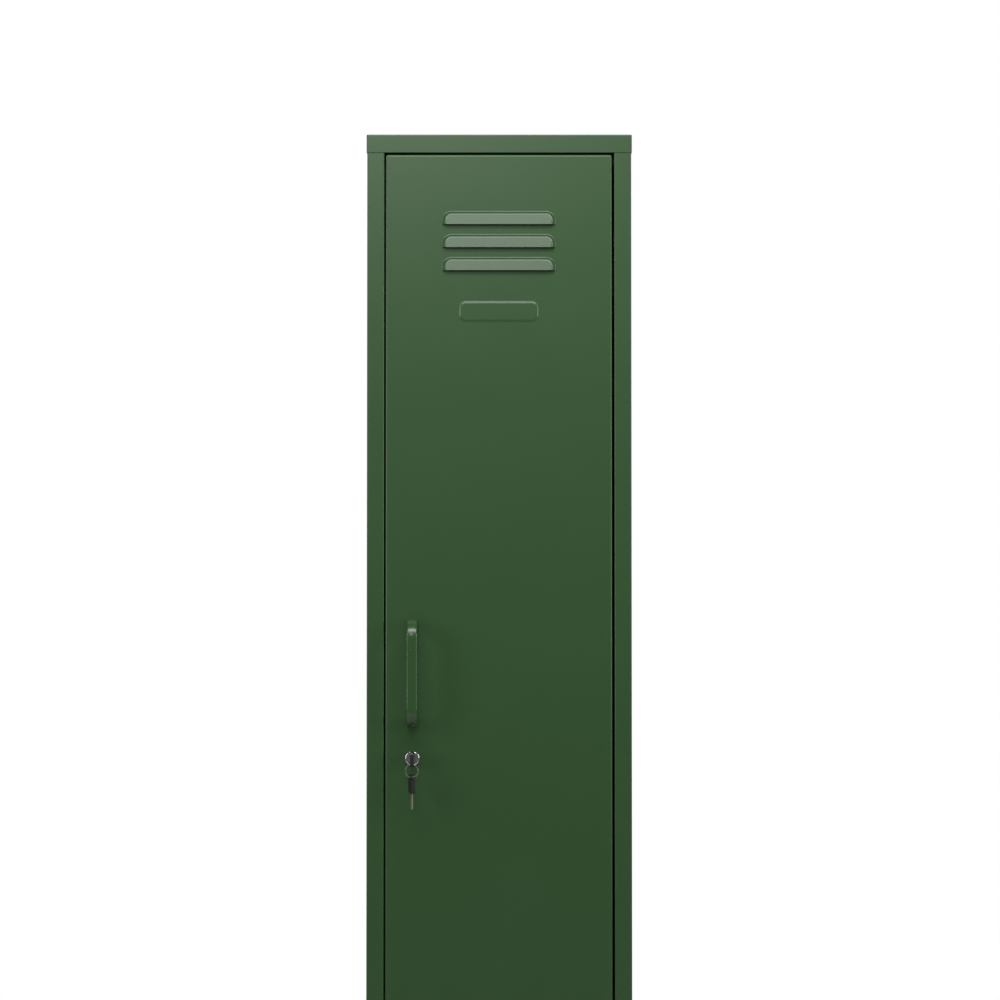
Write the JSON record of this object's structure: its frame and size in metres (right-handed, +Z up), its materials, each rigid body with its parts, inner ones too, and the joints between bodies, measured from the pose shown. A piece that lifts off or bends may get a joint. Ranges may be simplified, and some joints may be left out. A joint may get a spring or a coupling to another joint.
{
  "type": "school locker",
  "caption": "Tall single-door sheet-steel school locker with louvred door, bow pull, cam lock with keys on a ring, hat shelf and coat rail.",
  "frame": {"origin": "on the floor, under the middle of the whole object's box, the pull's reach in front included", "axes": "+X to the right seen from the front, +Y from the door into the locker, +Z up"},
  "size_m": [0.35, 0.494, 1.83],
  "materials": {
    "carcass_paint": "satin",
    "door_paint": "satin",
    "pull_paint": "satin",
    "foot_plastic": "matte",
    "bumper_rubber": "matte",
    "zinc_steel": "satin",
    "chrome": "polished",
    "nickel": "bright",
    "key_plastic": "satin",
    "key_brass": "satin"
  },
  "bodies": {
    "carcass": {"top_cap": "carcass_paint", "base_tray": "carcass_paint", "foot_front_left": "foot_plastic", "foot_front_right": "foot_plastic", "foot_back_left": "foot_plastic", "foot_back_right": "foot_plastic", "side_left": "carcass_paint", "side_right": "carcass_paint", "stop_strip": "carcass_paint", "back_panel": "carcass_paint", "header": "carcass_paint", "sill": "carcass_paint", "bumper_1": "bumper_rubber", "bumper_2": "bumper_rubber", "bumper_3": "bumper_rubber", "bumper_4": "bumper_rubber", "frame_leaf_top": "zinc_steel", "frame_leaf_middle": "zinc_steel", "frame_leaf_bottom": "zinc_steel", "hinge_pin_top": "zinc_steel", "hinge_pin_middle": "zinc_steel", "hinge_pin_bottom": "zinc_steel", "hinge_screws_top": "zinc_steel", "hinge_screws_middle": "zinc_steel", "hinge_screws_bottom": "zinc_steel", "hat_shelf": "carcass_paint", "shelf_clip_front_left": "carcass_paint", "shelf_clip_front_right": "carcass_paint", "shelf_clip_back_left": "carcass_paint", "shelf_clip_back_right": "carcass_paint", "coat_rail": "chrome", "rail_socket_left": "nickel", "rail_socket_right": "nickel"},
    "door": {"door_panel": "door_paint", "door_stiffener": "door_paint", "door_leaf_top": "zinc_steel", "door_leaf_middle": "zinc_steel", "door_leaf_bottom": "zinc_steel", "door_pull": "pull_paint", "pull_screw_low": "zinc_steel", "pull_screw_high": "zinc_steel", "lock_housing": "chrome", "lock_nut": "zinc_steel"},
    "lock_core": {"lock_plug": "chrome", "lock_cam": "zinc_steel", "cam_screw": "zinc_steel"},
    "lock_key": {"key_head": "key_plastic", "key_blade": "key_brass"},
    "ring": {"key_ring": "nickel"},
    "spare_key": {"spare_head": "key_plastic", "spare_blade": "key_brass"},
    "hook_left": {"coat_hook_1": "nickel"},
    "hook_right": {"coat_hook_2": "nickel"}
  },
  "joints": [
    {"name": "door_hinge", "type": "hinge", "parent": "carcass", "child": "door", "pos_m": [0.13955, -0.20515, 0.921], "axis": [0, 0, 1], "range_deg": [0, 110]},
    {"name": "lock_turn", "type": "hinge", "parent": "door", "child": "lock_core", "pos_m": [-0.11405, -0.21465, 1.0085], "axis": [0, 1, 0], "range_deg": [0, 90]},
    {"name": "key_withdraw", "type": "slide", "parent": "lock_core", "child": "lock_key", "axis": [0, -1, 0], "range_m": [0, 0.03]},
    {"name": "ring_hang", "type": "hinge", "parent": "lock_key", "child": "ring", "pos_m": [-0.11405, -0.23705, 0.99943], "axis": [0, 1, 0], "range_deg": [-90, 0]},
    {"name": "spare_key_swing", "type": "hinge", "parent": "ring", "child": "spare_key", "pos_m": [-0.11405, -0.23705, 0.98533], "axis": [-1, 0, 0], "range_deg": [-10, 60]},
    {"name": "hook_left_swing", "type": "hinge", "parent": "carcass", "child": "hook_left", "pos_m": [-0.06, 0.03965, 1.45], "axis": [1, 0, 0], "range_deg": [-50, 50]},
    {"name": "hook_right_swing", "type": "hinge", "parent": "carcass", "child": "hook_right", "pos_m": [0.06, 0.03965, 1.45], "axis": [1, 0, 0], "range_deg": [-50, 50]}
  ],
  "couplings": [
    {"joint": "ring_hang", "follows": "lock_turn", "ratio": -1}
  ]
}
